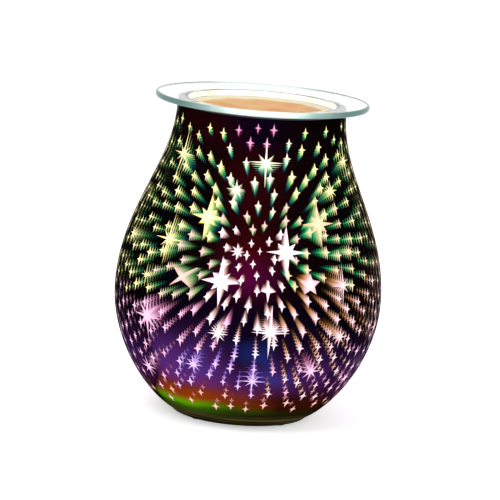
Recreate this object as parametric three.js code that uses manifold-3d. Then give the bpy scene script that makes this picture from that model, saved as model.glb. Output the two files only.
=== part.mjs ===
import * as THREE from 'three';
import { mergeVertices } from 'three/addons/utils/BufferGeometryUtils.js';
import Module from 'manifold-3d';

const wasm = await Module();
wasm.setup();

// Electric fragrance lamp: an egg-shaped glass jar clamped to a moulded base, a reflector lamp
// twisted into a holder inside it, and a loose glass dish of scented wax on its open neck.
// Millimetres, +Z up, origin on the table under the centre of the jar. The front is -Y.

// Fits
const gap = 0.3;
const dishClearance = 0.8;
const pinClearance = 0.35;

// Jar outline: a foot, a full belly low down and a narrow straight neck
const footRadius = 33.5;
const footRound = 1.05;
const footRiseAngle = THREE.MathUtils.degToRad(24.8);
const footReach = 13.4;
const bellyRadius = 65;
const bellyHeight = 59;
const bellyReachDown = 27.8;
const bellyReachUp = 38;
const neckRadius = 40.85;
const neckReach = 30.2;
const jarHeight = 150.9;
const jarWall = 2.2;
const footLand = 2.4;
const webRecess = 3.5;
const webThickness = 2.2;

// Dish and wax
const dishRadius = 51.8;
const dishRimThickness = 2.8;
const dishRimFall = 1.7;
const dishEdgeRound = 1.1;
const dishWall = 2.4;
const dishFloor = 2.6;
const dishDepth = 18;
const dishTaper = 4.5;
const dishFloorRound = 5;
const dishMouthRound = 1.2;
const waxBelowRim = 4.5;

// Base
const padThickness = 1.3;
const padRadius = 3.2;
const padCount = 4;
const gasketThickness = 1;
const flangeThickness = 2.2;
const seatWidth = 3.6;
const housingWall = 2;
const housingHeight = 20;
const roofThickness = 2;
const ledgeWidth = 3.7;
const coverThickness = 1.6;
const coverRecessWidth = 1.7;
const bossRadius = 2.9;
const coverVentWidth = 1.5;
const coverVentPitch = 2.9;
const coverVentLength = 9.5;
const roofVentWidth = 2.6;
const roofVentSpread = 0.5;
const coverEdge = 1;
const clampRingHeight = 4.5;
const clampRingWidth = 5;
const clampNotches = 8;
const clampNotchRadius = 2.2;
const leadHoleRadius = 8;
const inletBore = 2.6;
const inletWall = 1.3;
const inletLip = 1.7;
const inletLipHeight = 0.7;

// Bracket and lampholder
const sheet = 1;
const bracketRise = 6;
const bracketWidth = 27;
const bracketLegSpan = 27;
const bracketTab = 8;
const holderRadius = 13.5;
const holderHeight = 13.5;
const holderScrewSpacing = 18.6;
const holderChamfer = 0.6;
const counterboreDepth = 3.5;
const slotDepth = 3.2;
const channelDepth = 9.5;

// Reflector lamp with a twist-lock cap
const pinSpacing = 10;
const pinShankRadius = 1.6;
const pinHeadRadius = 2.45;
const pinLength = 6.6;
const pinHeadLength = 2.2;
const twistAngle = THREE.MathUtils.degToRad(22);
const capRadius = 11.5;
const capHeight = 9;
const capNeckRadius = 9.8;
const capNeckHeight = 18;
const capFlatWidth = 20;
const reflectorRadius = 25;
const reflectorWall = 1.4;
const reflectorRimHeight = 3.5;
const lampHeight = 47.5;
const lensThickness = 2;
const capsuleRadius = 4.6;
const capsuleHeight = 19;

// Contacts, wires and fasteners
const contactSheet = 0.4;
const contactWidth = 3;
const leadRadius = 1.1;
const screwRadius = 1.45;
const screwHeadRadius = 2.75;
const screwHeadHeight = 2;
const screwLength = 8;
const countersinkDepth = 1.2;
const countersinkRadius = 2.45;
const headRecess = 0.1;
const terminalSize = new THREE.Vector3(18, 12, 11);
const terminalPitch = 9;
const terminalScrewRadius = 1.6;
const terminalScrewLength = 3.4;
const terminalSetback = 2;
const terminalEntryHeight = 4.2;
const terminalSlot = 0.7;
const leadDrop = 6.5;
const leadBend = 2.6;
const leadLoop = 6;
const leadStraight = 1.5;
const contactFoot = 2;
const contactCrown = 0.6;
const screwTip = 0.6;
const shoulderRise = 3;
const pinchHeight = 5;
const pinchThickness = 2.4;
const tipLength = 1.2;

// Levels worked out from the stack of pieces
const flangeUnderside = padThickness;
const flangeTop = flangeUnderside + flangeThickness;
const webUnderside = flangeTop + gasketThickness;
const webTop = webUnderside + webThickness;
const footLevel = webUnderside - webRecess;
const lipTop = footLevel + jarHeight;
const coverTop = flangeUnderside + coverThickness;
const ledgeTop = coverTop + housingWall;
const roofTop = flangeUnderside + housingHeight;
const roofUnderside = roofTop - roofThickness;
const bracketTop = roofTop + bracketRise + sheet;
const holderTop = bracketTop + holderHeight;
const channelFloor = holderTop - channelDepth;
const capUnderside = holderTop + gap;
const lampFace = capUnderside + lampHeight;

// Radii worked out from the jar's foot inwards
const footInner = footRadius - footLand;
const flangeRadius = footInner - gap;
const tubeRadius = flangeRadius - seatWidth;
const tubeInner = tubeRadius - housingWall;
const ledgeInner = tubeInner - ledgeWidth;
const coverRecess = ledgeInner + coverRecessWidth;
const coverRadius = coverRecess - gap;
const holeRadius = tubeRadius + gap;
const padCircle = flangeRadius - padRadius - gap;
const bossCircle = coverRadius - countersinkRadius - coverEdge;
const inletRadius = inletBore + inletWall;
const inletOffset = bossCircle - inletRadius - 1;
const bracketScrewOffset = bracketLegSpan / 2 + bracketTab / 2;
const capNeckTop = capUnderside + capNeckHeight;

// Dish: its neck hangs in the jar's, and its rim falls from the edge to the well and sits on the lip
const lipRadius = neckRadius - jarWall / 2;
const dishNeck = neckRadius - jarWall - dishClearance;
const dishEdge = dishRadius - dishEdgeRound;
const dishMouth = dishNeck - dishWall + dishMouthRound;
const rimSlope = dishRimFall / (dishEdge - dishMouth);
const dishTop = lipTop + gap + dishRimThickness + (dishEdge - lipRadius) * rimSlope;
const mouthTop = dishTop - dishRimFall;
const waxTop = dishTop - waxBelowRim;

const fine = 48;
const medium = 24;
const coarse = 12;

const v2 = (x, y) => new THREE.Vector2(x, y);
const v3 = (x, y, z) => new THREE.Vector3(x, y, z);

// Leaves only merged positions and drops triangles that have no area
function closed(geometry) {
  const bare = geometry.index ? geometry.toNonIndexed() : geometry.clone();
  bare.deleteAttribute('normal');
  bare.deleteAttribute('uv');
  const merged = mergeVertices(bare, 1e-4);
  const kept = [];
  const index = merged.index.array;
  for (let i = 0; i < index.length; i += 3) {
    const [a, b, c] = [index[i], index[i + 1], index[i + 2]];
    if (a !== b && b !== c && c !== a) kept.push(a, b, c);
  }
  merged.setIndex(kept);
  return merged;
}

function solid(geometry) {
  const mesh = closed(geometry);
  const vertProperties = new Float32Array(mesh.attributes.position.array);
  const triVerts = new Uint32Array(mesh.index.array);
  return new wasm.Manifold(new wasm.Mesh({ numProp: 3, vertProperties, triVerts }));
}

function geometryOf(manifold) {
  const { vertProperties, triVerts } = manifold.getMesh();
  const geometry = new THREE.BufferGeometry();
  geometry.setAttribute('position', new THREE.BufferAttribute(vertProperties, 3));
  geometry.setIndex(new THREE.BufferAttribute(triVerts, 1));
  return geometry;
}

const join = (first, ...others) => others.reduce((sum, next) => sum.add(next), first);
const cut = (first, ...others) => others.reduce((rest, next) => rest.subtract(next), first);

// Turns a closed outline of (radius, height) points about Z
function turned(outline, segments = medium) {
  const area = THREE.ShapeUtils.area(outline);
  const ordered = area > 0 ? outline.slice() : outline.slice().reverse();
  ordered.push(ordered[0].clone());
  return closed(new THREE.LatheGeometry(ordered, segments).rotateX(Math.PI / 2));
}

// Points on an arc, both ends included
function arc(centreR, centreZ, radius, from, to, steps) {
  const points = [];
  for (let i = 0; i <= steps; i += 1) {
    const angle = from + ((to - from) * i) / steps;
    points.push(v2(centreR + radius * Math.cos(angle), centreZ + radius * Math.sin(angle)));
  }
  return points;
}

function cylinder(radius, bottom, top, x = 0, y = 0, segments = coarse) {
  const geometry = new THREE.CylinderGeometry(radius, radius, top - bottom, segments);
  return geometry.rotateX(Math.PI / 2).translate(x, y, (top + bottom) / 2);
}

function box(width, depth, bottom, top, x = 0, y = 0) {
  return new THREE.BoxGeometry(width, depth, top - bottom).translate(x, y, (top + bottom) / 2);
}

// Extrudes an outline drawn in X and Y from one level up to another
function prism(shape, bottom, top, curveSegments = 3) {
  const options = { depth: top - bottom, bevelEnabled: false, curveSegments };
  return new THREE.ExtrudeGeometry(shape, options).translate(0, 0, bottom);
}

// A slot with round ends along an arc about Z
function arcSlot(radius, width, from, to) {
  const half = width / 2;
  const end = v2(radius * Math.cos(to), radius * Math.sin(to));
  const start = v2(radius * Math.cos(from), radius * Math.sin(from));
  const shape = new THREE.Shape();
  shape.absarc(0, 0, radius + half, from, to, false);
  shape.absarc(end.x, end.y, half, to, to + Math.PI, false);
  shape.absarc(0, 0, radius - half, to, from, true);
  shape.absarc(start.x, start.y, half, from + Math.PI, from + 2 * Math.PI, false);
  return shape;
}

// A straight slot with round ends, from one radius to another along an angle
function radialSlot(inner, outer, width, angle) {
  const half = width / 2;
  const shape = new THREE.Shape();
  shape.absarc(outer, 0, half, -Math.PI / 2, Math.PI / 2, false);
  shape.absarc(inner, 0, half, Math.PI / 2, (3 * Math.PI) / 2, false);
  const turnedPoints = shape.getPoints(3).map((p) => p.rotateAround(v2(0, 0), angle));
  return new THREE.Shape(turnedPoints);
}

function around(count, radius, firstAngle = 0) {
  return Array.from({ length: count }, (unused, i) => {
    const angle = firstAngle + (2 * Math.PI * i) / count;
    return v2(radius * Math.cos(angle), radius * Math.sin(angle));
  });
}

const finish = (color, roughness, metalness = 0, opacity = 1) =>
  new THREE.MeshStandardMaterial({ color, roughness, metalness, opacity, transparent: opacity < 1 });

const model = new THREE.Group();
model.name = 'electric_fragrance_lamp';

function piece(name, geometry, material, parent = model) {
  const mesh = new THREE.Mesh(geometry, material);
  mesh.name = name;
  parent.add(mesh);
  return mesh;
}

// The jar's outer outline from foot to neck, as two curves that meet at the belly
function jarOutline() {
  const foot = v2(footRadius, footLevel + footRound);
  const footHandle = v2(
    foot.x + footReach * Math.cos(footRiseAngle),
    foot.y + footReach * Math.sin(footRiseAngle),
  );
  const bellyLevel = footLevel + bellyHeight;
  const belly = v2(bellyRadius, bellyLevel);
  const neck = v2(neckRadius, lipTop - jarWall / 2);
  const lower = new THREE.CubicBezierCurve(
    foot, footHandle, v2(bellyRadius, bellyLevel - bellyReachDown), belly,
  );
  const upper = new THREE.CubicBezierCurve(
    belly, v2(bellyRadius, bellyLevel + bellyReachUp), v2(neckRadius, neck.y - neckReach), neck,
  );
  return [lower, upper];
}

// The inner face: the same curves moved in by the wall, down to the web
function jarInside(curves, steps) {
  const points = [];
  for (const curve of curves.slice().reverse()) {
    for (let i = steps; i > 0; i -= 1) {
      const point = curve.getPoint(i / steps);
      const along = curve.getTangent(i / steps);
      const inside = v2(point.x - along.y * jarWall, point.y + along.x * jarWall);
      if (inside.y > webTop + webThickness / 2) points.push(inside);
    }
  }
  const last = points[points.length - 1];
  points.push(v2(last.x - 1.5 * (last.y - webTop), webTop));
  return points;
}

function jar() {
  const curves = jarOutline();
  const lip = arc(lipRadius, lipTop - jarWall / 2, jarWall / 2, 0, Math.PI, 4);
  const outline = [
    v2(holeRadius, webUnderside),
    v2(footInner, webUnderside),
    v2(footInner, footLevel + footRound / 2),
    v2(footInner + footRound / 2, footLevel),
    ...arc(footRadius - footRound, footLevel + footRound, footRound, -Math.PI / 2, -Math.PI / 5, 2),
    ...curves[0].getPoints(9),
    ...curves[1].getPoints(10).slice(1, -1),
    ...lip,
    ...jarInside(curves, 6).slice(1),
    v2(holeRadius, webTop),
  ];
  return turned(outline, fine);
}

// Radius of the well's inner face at a level
function wellRadius(level) {
  const slope = dishTaper / dishDepth;
  return dishNeck - dishWall - (mouthTop - level) * slope;
}

// The rounded foot of the well's inner face, drawn in by a clearance
function wellFoot(clearance) {
  const floor = dishTop - dishDepth + dishFloor + clearance;
  const radius = wellRadius(floor + dishFloorRound) - dishFloorRound - clearance;
  return [
    v2(0, floor),
    ...arc(radius, floor + dishFloorRound, dishFloorRound, -Math.PI / 2, 0, 3),
  ];
}

function dish() {
  const floorUnder = dishTop - dishDepth;
  const rimUnder = dishTop - dishRimThickness;
  const outerFoot = wellRadius(floorUnder + dishFloor + dishFloorRound) - dishFloorRound + dishWall;
  const neckTop = rimUnder - (dishEdge - dishNeck - 1) * rimSlope;
  const outline = [
    ...wellFoot(0),
    v2(wellRadius(mouthTop - dishMouthRound), mouthTop - dishMouthRound),
    v2(wellRadius(mouthTop) + 0.35 * dishMouthRound, mouthTop - 0.35 * dishMouthRound),
    v2(dishMouth, mouthTop),
    ...arc(dishEdge, dishTop - dishEdgeRound, dishEdgeRound, Math.PI / 2, Math.PI / 8, 1),
    v2(dishRadius, (dishTop + rimUnder) / 2),
    ...arc(dishEdge, rimUnder + dishEdgeRound, dishEdgeRound, -Math.PI / 8, -Math.PI / 2, 1),
    v2(dishNeck + 1, neckTop),
    v2(dishNeck, neckTop - 1),
    ...arc(outerFoot, floorUnder + dishFloorRound, dishFloorRound, 0, -Math.PI / 2, 3),
    v2(0, floorUnder),
  ];
  return turned(outline, fine);
}

function wax() {
  const rim = wellRadius(waxTop) - gap;
  return turned([...wellFoot(gap), v2(rim, waxTop), v2(0, waxTop)], fine);
}

function ring(inner, outer, bottom, top) {
  return turned([v2(inner, bottom), v2(outer, bottom), v2(outer, top), v2(inner, top)]);
}

// Ring nut that pulls the jar's web down on the flange, with notches for a key
function clampRing() {
  const bottom = webTop + gasketThickness;
  const top = bottom + clampRingHeight;
  const outer = holeRadius + clampRingWidth;
  const blank = solid(turned([
    v2(holeRadius, bottom),
    v2(outer, bottom),
    v2(outer, top - 1),
    v2(outer - 1, top),
    v2(holeRadius, top),
  ], medium));
  const notches = around(clampNotches, outer).map(({ x, y }) =>
    solid(cylinder(clampNotchRadius, bottom - 1, top + 1, x, y, 8)));
  return geometryOf(cut(blank, ...notches));
}

const coverScrewPlaces = around(3, bossCircle, -Math.PI / 2);
const bracketScrewPlaces = [v2(0, -bracketScrewOffset), v2(0, bracketScrewOffset)];
const holderScrewPlaces = [v2(-holderScrewSpacing / 2, 0), v2(holderScrewSpacing / 2, 0)];

// Upturned cup that carries everything: bottom flange, tube through the jar, vented roof
function housing() {
  const round = 0.75 * roofThickness;
  const shell = solid(turned([
    v2(coverRecess, flangeUnderside),
    v2(flangeRadius, flangeUnderside),
    v2(flangeRadius, flangeTop),
    v2(tubeRadius, flangeTop),
    ...arc(tubeRadius - round, roofTop - round, round, 0, Math.PI / 2, 3),
    v2(leadHoleRadius, roofTop),
    v2(leadHoleRadius, roofUnderside),
    v2(tubeInner, roofUnderside),
    v2(tubeInner, ledgeTop),
    v2(ledgeInner, ledgeTop),
    v2(ledgeInner, coverTop),
    v2(coverRecess, coverTop),
  ], medium));
  const insideRoof = roofUnderside + roofThickness / 2;
  const coverBosses = coverScrewPlaces.map(({ x, y }) =>
    solid(cylinder(bossRadius, coverTop, insideRoof, x, y)));
  const roofBosses = bracketScrewPlaces.map(({ x, y }) =>
    solid(cylinder(bossRadius, roofUnderside - bossRadius, insideRoof, x, y)));
  const coverPilots = coverScrewPlaces.map(({ x, y }) =>
    solid(cylinder(screwRadius + gap, coverTop - 1, coverTop + screwLength + 1, x, y)));
  const roofPilots = bracketScrewPlaces.map(({ x, y }) =>
    solid(cylinder(screwRadius + gap, roofTop - screwLength, roofTop + 1, x, y)));
  const ventInner = bracketWidth / 2 + roofVentWidth / 2 + gap;
  const ventOuter = tubeInner - roofVentWidth;
  const ventAngles = [-roofVentSpread, 0, roofVentSpread].flatMap((angle) => [angle, angle + Math.PI]);
  const vents = ventAngles.map((angle) => {
    const slot = radialSlot(ventInner, ventOuter, roofVentWidth, angle);
    return solid(prism(slot, roofUnderside - 1, roofTop + 1));
  });
  return geometryOf(cut(join(shell, ...coverBosses, ...roofBosses), ...coverPilots, ...roofPilots, ...vents));
}

// Countersunk screw with its head at a level, pointing up
function coverScrew() {
  const face = flangeUnderside + headRecess;
  return turned([
    v2(0, face),
    v2(countersinkRadius, face),
    v2(screwRadius, face + countersinkDepth),
    v2(screwRadius, coverTop + screwLength - screwRadius),
    v2(0, coverTop + screwLength),
  ], coarse);
}

// Bottom cover with countersunk holes, two groups of vent slots and the hole of the cord inlet
function cover() {
  const disc = solid(cylinder(coverRadius, flangeUnderside, coverTop, 0, 0, medium));
  const sinks = coverScrewPlaces.map(({ x, y }) => solid(turned([
    v2(0, flangeUnderside - 1),
    v2(countersinkRadius + gap, flangeUnderside - 1),
    v2(countersinkRadius + gap, flangeUnderside + headRecess),
    v2(screwRadius + gap, flangeUnderside + headRecess + countersinkDepth),
    v2(screwRadius + gap, coverTop + 1),
    v2(0, coverTop + 1),
  ], coarse).translate(x, y, 0)));
  const slots = [-3, -2, -1, 1, 2, 3].map((step) => {
    const x = (Math.sign(step) * terminalSize.x) / 2 + step * coverVentPitch;
    const y = -coverVentLength / 3;
    return solid(box(coverVentWidth, coverVentLength, flangeUnderside - 1, coverTop + 1, x, y));
  });
  const inlet = solid(cylinder(inletRadius + gap, flangeUnderside - 1, coverTop + 1, 0, inletOffset));
  return geometryOf(cut(disc, inlet, ...sinks, ...slots));
}

// Rubber grommet with a groove that holds the cover's edge
function cordInlet() {
  return turned([
    v2(inletBore, flangeUnderside - inletLipHeight),
    v2(inletRadius + inletLip, flangeUnderside - inletLipHeight),
    v2(inletRadius + inletLip, flangeUnderside),
    v2(inletRadius, flangeUnderside),
    v2(inletRadius, coverTop),
    v2(inletRadius + inletLip, coverTop),
    v2(inletRadius + inletLip / 2, coverTop + inletLipHeight),
    v2(inletBore, coverTop + inletLipHeight),
  ], 16).translate(0, inletOffset, 0);
}

// Folded sheet hat: two tabs on the roof, two legs and a top plate under the lampholder
function bracket() {
  const leg = bracketLegSpan / 2;
  const tab = leg + bracketTab;
  const plate = roofTop + bracketRise;
  const shape = new THREE.Shape();
  shape.moveTo(-tab, roofTop);
  shape.lineTo(-leg + sheet, roofTop);
  shape.lineTo(-leg + sheet, plate);
  shape.lineTo(leg - sheet, plate);
  shape.lineTo(leg - sheet, roofTop);
  shape.lineTo(tab, roofTop);
  shape.lineTo(tab, roofTop + sheet);
  shape.lineTo(leg, roofTop + sheet);
  shape.absarc(leg - sheet, bracketTop - sheet, sheet, 0, Math.PI / 2, false);
  shape.absarc(-leg + sheet, bracketTop - sheet, sheet, Math.PI / 2, Math.PI, false);
  shape.lineTo(-leg, roofTop + sheet);
  shape.lineTo(-tab, roofTop + sheet);
  const options = { depth: bracketWidth, bevelEnabled: false, curveSegments: 3 };
  const hat = new THREE.ExtrudeGeometry(shape, options);
  hat.rotateX(Math.PI / 2).rotateZ(Math.PI / 2).translate(-bracketWidth / 2, 0, 0);
  const holes = [...bracketScrewPlaces, ...holderScrewPlaces].map(({ x, y }) =>
    solid(cylinder(screwRadius + gap, roofTop - 1, bracketTop + 1, x, y)));
  const leadHole = solid(cylinder(leadHoleRadius - 0.5, plate - 1, bracketTop + 1));
  return geometryOf(cut(solid(hat), leadHole, ...holes));
}

// Pan-head screw, its head resting at a level
function panScrew(seat, length) {
  return turned([
    v2(0, seat - length),
    v2(screwRadius, seat - length + screwTip),
    v2(screwRadius, seat),
    v2(screwHeadRadius, seat),
    v2(screwHeadRadius, seat + screwHeadHeight * 0.6),
    v2(screwHeadRadius * 0.6, seat + screwHeadHeight),
    v2(0, seat + screwHeadHeight),
  ], coarse);
}

// Ceramic twist-lock holder: each pin drops through a round entry, then turns along a narrow
// slot while its head travels in a wider channel underneath
function lampholder() {
  const orbit = pinSpacing / 2;
  const blank = solid(turned([
    v2(0, bracketTop),
    v2(holderRadius, bracketTop),
    v2(holderRadius, holderTop - holderChamfer),
    v2(holderRadius - holderChamfer, holderTop),
    v2(0, holderTop),
  ], medium));
  const slotWidth = 2 * (pinShankRadius + pinClearance);
  const channelWidth = 2 * (pinHeadRadius + pinClearance);
  const tools = [];
  for (const side of [Math.PI / 2, -Math.PI / 2]) {
    const open = side + twistAngle;
    const narrow = arcSlot(orbit, slotWidth, side, open);
    const wide = arcSlot(orbit, channelWidth, side, open);
    const entry = v2(orbit * Math.cos(open), orbit * Math.sin(open));
    const leadPlace = v2(0, orbit * Math.sin(side));
    const overlap = slotDepth / 2;
    tools.push(
      solid(prism(narrow, holderTop - slotDepth - overlap, holderTop + 1)),
      solid(prism(wide, channelFloor, holderTop - slotDepth)),
      solid(cylinder(channelWidth / 2, channelFloor + overlap, holderTop + 1, entry.x, entry.y, 16)),
      solid(cylinder(leadRadius + gap, bracketTop - 1, channelFloor + 1, leadPlace.x, leadPlace.y)),
    );
  }
  for (const { x, y } of holderScrewPlaces) {
    const seat = holderTop - counterboreDepth;
    tools.push(solid(cylinder(screwRadius + gap, bracketTop - 1, holderTop, x, y)));
    tools.push(solid(cylinder(screwHeadRadius + gap, seat, holderTop + 1, x, y)));
  }
  return geometryOf(cut(blank, ...tools));
}

// Spring leaf on the channel's floor that presses up on a pin
function contact(side) {
  const floor = channelFloor + contactSheet / 2 + gap / 2;
  const underPin = capUnderside - pinLength - gap - contactSheet / 2;
  const orbit = (side * pinSpacing) / 2;
  const path = new THREE.CatmullRomCurve3([
    v3(side * contactFoot, orbit, floor),
    v3(-side * 2 * contactCrown, orbit, floor),
    v3(-side * 3.5 * contactCrown, orbit, (floor + underPin) / 2),
    v3(-side * contactCrown, orbit, underPin - contactSheet / 2),
    v3(side * contactCrown, orbit, underPin),
    v3(side * 3 * contactCrown, orbit, underPin - contactSheet),
  ]);
  const [w, t] = [contactWidth / 2, contactSheet / 2];
  const section = new THREE.Shape([v2(-w, -t), v2(w, -t), v2(w, t), v2(-w, t)]);
  return closed(new THREE.ExtrudeGeometry(section, { steps: 14, bevelEnabled: false, extrudePath: path }));
}

function roundWire(points, radius, steps) {
  const path = new THREE.CatmullRomCurve3(points, false, 'centripetal');
  const section = new THREE.Shape();
  section.absarc(0, 0, radius, 0, 2 * Math.PI, false);
  const options = { steps, bevelEnabled: false, curveSegments: 4, extrudePath: path };
  return closed(new THREE.ExtrudeGeometry(section, options));
}

const terminalFront = -terminalSize.y / 2 - terminalSetback;
const terminalEntry = coverTop + terminalEntryHeight;

// Insulated lead from the holder's channel, down through the roof, round into the terminal block
function lead(side) {
  const x = (side * terminalPitch) / 2;
  const orbit = (side * pinSpacing) / 2;
  return roundWire([
    v3(0, orbit, channelFloor - gap),
    v3(0, orbit, bracketTop - sheet),
    v3(side * leadStraight, orbit * 0.7, roofTop + bracketRise / 3),
    v3(side * leadBend, -terminalSetback, roofUnderside),
    v3(x, terminalFront - leadLoop * 0.67, terminalEntry + leadDrop),
    v3(x, terminalFront - leadLoop, terminalEntry + leadBend),
    v3(x, terminalFront - leadLoop * 0.6, terminalEntry),
    v3(x, terminalFront - leadStraight, terminalEntry),
    v3(x, terminalFront + leadLoop / 2, terminalEntry),
  ], leadRadius, 20);
}

// Two-way terminal block: a base with two towers, wire holes along Y and screw holes on top
function terminalBlock() {
  const half = terminalSize.x / 2;
  const towerHalf = terminalPitch / 2 - 0.9;
  const shape = new THREE.Shape();
  const waist = coverTop + terminalSize.z * 0.45;
  const top = coverTop + terminalSize.z;
  shape.moveTo(-half, coverTop);
  shape.lineTo(half, coverTop);
  shape.lineTo(half, waist);
  for (const centre of [terminalPitch / 2, -terminalPitch / 2]) {
    shape.lineTo(centre + towerHalf, waist);
    shape.lineTo(centre + towerHalf - leadRadius / 2, top);
    shape.lineTo(centre - towerHalf + leadRadius / 2, top);
    shape.lineTo(centre - towerHalf, waist);
  }
  shape.lineTo(-half, waist);
  const options = { depth: terminalSize.y, bevelEnabled: false };
  const body = new THREE.ExtrudeGeometry(shape, options).rotateX(Math.PI / 2);
  body.translate(0, terminalFront + terminalSize.y, 0);
  const tools = [];
  for (const centre of [terminalPitch / 2, -terminalPitch / 2]) {
    const bore = new THREE.CylinderGeometry(leadRadius + gap, leadRadius + gap, terminalSize.y + 2, 12);
    tools.push(solid(bore.translate(centre, terminalFront + terminalSize.y / 2, terminalEntry)));
    tools.push(solid(cylinder(
      terminalScrewRadius + gap, terminalEntry, top + 1, centre, terminalFront + terminalSize.y / 2, 16,
    )));
  }
  return geometryOf(cut(solid(body), ...tools));
}

function terminalScrew(centre) {
  const top = coverTop + terminalSize.z - 1.5;
  const y = terminalFront + terminalSize.y / 2;
  const blank = solid(cylinder(terminalScrewRadius, top - terminalScrewLength, top, centre, y, 16));
  const slot = solid(box(
    2 * terminalScrewRadius + 1, terminalSlot, top - 1.3 * terminalSlot, top + 1, centre, y,
  ));
  return geometryOf(cut(blank, slot));
}

// Ceramic cap: a round foot with two flats, and a neck that the reflector sits over
function lampCap() {
  const blank = solid(turned([
    v2(0, capUnderside),
    v2(capRadius - 0.6, capUnderside),
    v2(capRadius, capUnderside + 0.6),
    v2(capRadius, capUnderside + capHeight),
    v2(capNeckRadius, capUnderside + capHeight + shoulderRise),
    v2(capNeckRadius, capNeckTop),
    v2(0, capNeckTop),
  ], medium));
  const flats = solid(box(capFlatWidth, 3 * capRadius, capUnderside - 1, capNeckTop + 1));
  return geometryOf(blank.intersect(flats));
}

// Pressed reflector: parabolic bowl with a neck over the cap and a rim with a ledge for the lens
function reflector() {
  const neckBottom = capUnderside + capHeight + shoulderRise + gap;
  const bore = capNeckRadius + gap;
  const rimBottom = lampFace - reflectorRimHeight;
  const ledge = lampFace - lensThickness - gap;
  const bowlDepth = rimBottom - capNeckTop;
  const bowl = [0, 0.1, 0.3, 0.6, 1].map((t) => {
    const radius = bore + (reflectorRadius - 2 * reflectorWall - bore) * Math.sqrt(t);
    return v2(radius, capNeckTop + bowlDepth * t);
  });
  const back = [0.85, 0.5, 0.22, 0.06, 0].map((t) => {
    const radius = bore + reflectorWall + (reflectorRadius - reflectorWall - bore - 1.2) * Math.sqrt(t);
    return v2(radius, capNeckTop - 1.5 + bowlDepth * t);
  });
  return turned([
    v2(bore, neckBottom),
    ...bowl,
    v2(reflectorRadius - 2 * reflectorWall, ledge),
    v2(reflectorRadius - reflectorWall, ledge),
    v2(reflectorRadius - reflectorWall, lampFace),
    v2(reflectorRadius, lampFace),
    v2(reflectorRadius, rimBottom),
    ...back,
    v2(bore + reflectorWall, neckBottom),
  ], medium);
}

function lens() {
  const radius = reflectorRadius - reflectorWall - gap;
  const bottom = lampFace - lensThickness;
  return turned([
    v2(0, bottom),
    v2(radius, bottom),
    v2(radius, lampFace - 0.5),
    v2(radius - 0.7, lampFace),
    v2(0, lampFace),
  ], medium);
}

// Quartz capsule with a flat pinch at the bottom and a drawn-out tip
function capsule() {
  const bottom = capNeckTop + gap;
  const shoulder = bottom + pinchHeight;
  const dome = bottom + capsuleHeight - capsuleRadius;
  const bulb = solid(turned([
    v2(0, shoulder - 0.4 * pinchHeight),
    v2(capsuleRadius * 0.7, shoulder - 0.32 * pinchHeight),
    v2(capsuleRadius, shoulder),
    ...arc(0, dome, capsuleRadius, 0, 0.42 * Math.PI, 4),
    v2(capsuleRadius / 9, dome + capsuleRadius + 0.8 * tipLength),
    v2(0, dome + capsuleRadius + tipLength),
  ], 16));
  const pinch = solid(box(2 * capsuleRadius, pinchThickness, bottom, shoulder));
  return geometryOf(join(bulb, pinch));
}

function lampPin(side) {
  const head = capUnderside - pinLength;
  return turned([
    v2(0, head),
    v2(pinHeadRadius - 0.4, head),
    v2(pinHeadRadius, head + 0.4),
    v2(pinHeadRadius, head + pinHeadLength),
    v2(pinShankRadius, head + pinHeadLength + 0.3),
    v2(pinShankRadius, capUnderside),
    v2(0, capUnderside),
  ], coarse).translate(0, (side * pinSpacing) / 2, 0);
}

const clearGlass = () => finish(0xe2f2ef, 0.04, 0, 0.35);
const mirrorGlass = () => finish(0x2b1038, 0.12, 0.6);
const amberWax = () => finish(0xd59158, 0.18);
const blackMoulding = () => finish(0x1a1a1c, 0.5);
const blackRubber = () => finish(0x121212, 0.85);
const paleSilicone = () => finish(0xd9d8d2, 0.6);
const zincSteel = () => finish(0xb7babd, 0.35, 1);
const ceramic = () => finish(0xf0eee6, 0.45);
const brass = () => finish(0xc7a24b, 0.3, 1);
const brightReflector = () => finish(0xd5d9e0, 0.12, 0.9);
const quartz = () => finish(0xf4f6fb, 0.05, 0, 0.5);
const whitePlastic = () => finish(0xe9e7e0, 0.5);

piece('glass_jar', jar(), mirrorGlass());
piece('glass_dish', dish(), clearGlass());
piece('wax_pool', wax(), amberWax());

piece('lower_gasket', ring(holeRadius, flangeRadius, flangeTop, webUnderside), paleSilicone());
piece(
  'upper_gasket',
  ring(holeRadius, holeRadius + clampRingWidth, webTop, webTop + gasketThickness),
  paleSilicone(),
);
piece('clamp_ring', clampRing(), blackMoulding());
piece('base_housing', housing(), blackMoulding());
piece('base_cover', cover(), blackMoulding());
piece('cord_inlet', cordInlet(), blackRubber());
around(padCount, padCircle, Math.PI / 4).forEach(({ x, y }, i) => {
  piece(`foot_pad_${i + 1}`, closed(cylinder(padRadius, 0, padThickness, x, y)), blackRubber());
});
coverScrewPlaces.forEach(({ x, y }, i) => {
  piece(`cover_screw_${i + 1}`, coverScrew(), zincSteel()).position.set(x, y, 0);
});

piece('lamp_bracket', bracket(), zincSteel());
bracketScrewPlaces.forEach(({ x, y }, i) => {
  piece(`bracket_screw_${i + 1}`, panScrew(roofTop + sheet, screwLength), zincSteel()).position.set(x, y, 0);
});
piece('lampholder', lampholder(), ceramic());
holderScrewPlaces.forEach(({ x, y }, i) => {
  const seat = holderTop - counterboreDepth;
  const screw = panScrew(seat, seat - bracketTop + sheet + 2);
  piece(`holder_screw_${i + 1}`, screw, zincSteel()).position.set(x, y, 0);
});
piece('contact_live', contact(1), brass());
piece('contact_neutral', contact(-1), brass());
piece('lead_live', lead(1), finish(0x6a3b1e, 0.55));
piece('lead_neutral', lead(-1), finish(0x2c5d9e, 0.55));
piece('terminal_block', terminalBlock(), whitePlastic());
piece('terminal_screw_live', terminalScrew(terminalPitch / 2), brass());
piece('terminal_screw_neutral', terminalScrew(-terminalPitch / 2), brass());

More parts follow.
